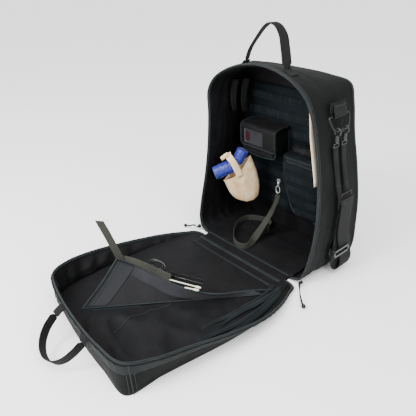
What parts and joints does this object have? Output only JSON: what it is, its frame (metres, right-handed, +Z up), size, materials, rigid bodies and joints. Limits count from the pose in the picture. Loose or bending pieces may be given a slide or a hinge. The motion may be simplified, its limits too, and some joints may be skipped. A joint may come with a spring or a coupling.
{
  "type": "trauma backpack",
  "caption": "Soft medical backpack standing open: zipped front lid folded down on the floor, pouches, rolls and flap inside, carrying handles, side sling, padded back straps.",
  "frame": {"origin": "on the floor, under the middle of the bottom panel, in the plane of its underside", "axes": "+Z up; -Y towards the opening, where the lid lies open; +X the wearer's right, so the wearer faces +Y"},
  "size_m": [0.546, 0.9172, 0.67],
  "materials": {
    "shell_fabric": "woven nylon, matt, coated inside",
    "zip_tape": "ribbed zip tape and piping, satin",
    "molle_fabric": "woven nylon with webbing rows, matt",
    "lining_fabric": "coated lining nylon, satin",
    "beige_cloth": "brushed cotton",
    "blue_film": "crinkled wrapping film, satin",
    "tan_sheet": "smooth sheet",
    "black_webbing": "woven webbing",
    "olive_webbing": "woven webbing",
    "pale_metal": "plated, satin",
    "dark_metal": "black oxide, worn",
    "black_plastic": "moulded, fine grain",
    "foam_fabric": "spacer mesh over foam",
    "zip_cord": "braided cord",
    "white_plastic": "smooth"
  },
  "bodies": {
    "bag": {"back_panel": "shell_fabric", "molle_panel": "molle_fabric", "medical_pouch": "lining_fabric", "utility_pouch": "molle_fabric", "pouch_filling": "lining_fabric", "shoulder_yoke": "foam_fabric", "shoulder_strap_left": "foam_fabric", "strap_web_left": "black_webbing", "strap_adjuster_left": "black_plastic", "shoulder_strap_right": "foam_fabric", "strap_web_right": "black_webbing", "strap_adjuster_right": "black_plastic", "left_side_panel": "shell_fabric", "top_panel": "shell_fabric", "right_side_panel": "shell_fabric", "bottom_panel": "shell_fabric", "case_zip_tape": "zip_tape", "roll_holder": "beige_cloth", "blue_roll_lower": "blue_film", "blue_roll_upper": "blue_film", "roll_holder_strap": "beige_cloth", "splint_sheet": "tan_sheet", "compression_strap_front": "black_webbing", "compression_strap_rear": "black_webbing", "lanyard_hook": "pale_metal", "loose_strap": "olive_webbing", "loose_strap_buckle": "black_plastic", "ring_anchor_right": "black_webbing", "ring_anchor_left": "black_webbing"},
    "pouch_flap": {"pouch_flap": "lining_fabric", "flap_patch": "molle_fabric"},
    "top_handle": {"top_handle": "black_webbing"},
    "side_ring_right": {"side_ring_right": "dark_metal"},
    "sling": {"snap_hook_front": "black_plastic", "snap_hook_rear": "black_plastic", "sling_web_front": "black_webbing", "sling_web_rear": "black_webbing", "sling_strap": "black_webbing"},
    "sling_triglide": {"sling_triglide": "black_plastic"},
    "side_ring_left": {"side_ring_left": "dark_metal"},
    "zip_pull_right": {"zip_slider_right": "dark_metal", "zip_cord_right": "zip_cord", "zip_knot_right": "zip_cord"},
    "zip_pull_left": {"zip_slider_left": "dark_metal", "zip_cord_left": "zip_cord", "zip_knot_left": "zip_cord"},
    "lid": {"lid_face_panel": "shell_fabric", "lid_left_side": "shell_fabric", "lid_end_panel": "shell_fabric", "lid_right_side": "shell_fabric", "lid_zip_tape": "zip_tape", "hinge_tape": "zip_tape"},
    "lid_handle": {"lid_handle": "black_webbing"},
    "organiser_flap": {"organiser_flap": "lining_fabric", "comb": "black_plastic", "swab_long": "white_plastic", "swab_short": "white_plastic", "trauma_shears": "black_plastic"},
    "flap_pull_tab": {"flap_pull_tab": "olive_webbing"}
  },
  "joints": [
    {"name": "lid_hinge", "type": "hinge", "parent": "bag", "child": "lid", "pos_m": [0, -0.12, 0.002], "axis": [-1, 0, 0], "range_deg": [0, 85.2]},
    {"name": "organiser_hinge", "type": "hinge", "parent": "lid", "child": "organiser_flap", "pos_m": [-0.088, -0.614, 0.0075], "axis": [0.5809, 0.814, 0], "range_deg": [-6, 45]},
    {"name": "pull_tab_fold", "type": "hinge", "parent": "organiser_flap", "child": "flap_pull_tab", "pos_m": [-0.124, -0.472, 0.092], "axis": [0.8, 0.6, 0], "range_deg": [0, 76]},
    {"name": "lid_handle_hinge", "type": "hinge", "parent": "lid", "child": "lid_handle", "pos_m": [0.017, -0.7, 0.066], "axis": [-1, 0, 0], "range_deg": [-5, 45]},
    {"name": "top_handle_hinge", "type": "hinge", "parent": "bag", "child": "top_handle", "pos_m": [0, -0.042, 0.5645], "axis": [1, 0, 0], "range_deg": [-60, 15]},
    {"name": "pouch_flap_hinge", "type": "hinge", "parent": "bag", "child": "pouch_flap", "pos_m": [-0.074, 0.0938, 0.3671], "axis": [-1, 0, 0], "range_deg": [0, 76]},
    {"name": "side_ring_right_hinge", "type": "hinge", "parent": "bag", "child": "side_ring_right", "pos_m": [0.2073, 0.008, 0.462], "axis": [0, -1, 0], "range_deg": [0, 55]},
    {"name": "sling_hinge", "type": "hinge", "parent": "side_ring_right", "child": "sling", "pos_m": [0.2206, 0.008, 0.428], "axis": [0, -1, 0], "range_deg": [0, 80]},
    {"name": "triglide_slide", "type": "slide", "parent": "sling", "child": "sling_triglide", "axis": [0, 0, 1], "range_m": [-0.01, 0.12]},
    {"name": "side_ring_left_hinge", "type": "hinge", "parent": "bag", "child": "side_ring_left", "pos_m": [-0.2065, 0.008, 0.462], "axis": [0, 1, 0], "range_deg": [0, 80]},
    {"name": "zip_slide_right", "type": "hinge", "parent": "bag", "child": "zip_pull_right", "pos_m": [0.19, -0.108, 0.046], "axis": [0, -1, 0], "range_deg": [0, 42]},
    {"name": "zip_slide_left", "type": "hinge", "parent": "bag", "child": "zip_pull_left", "pos_m": [-0.154, -0.108, 0.046], "axis": [0, 1, 0], "range_deg": [0, 38]}
  ],
  "couplings": [
    {"joint": "pull_tab_fold", "follows": "lid_hinge", "ratio": 0.88}
  ]
}
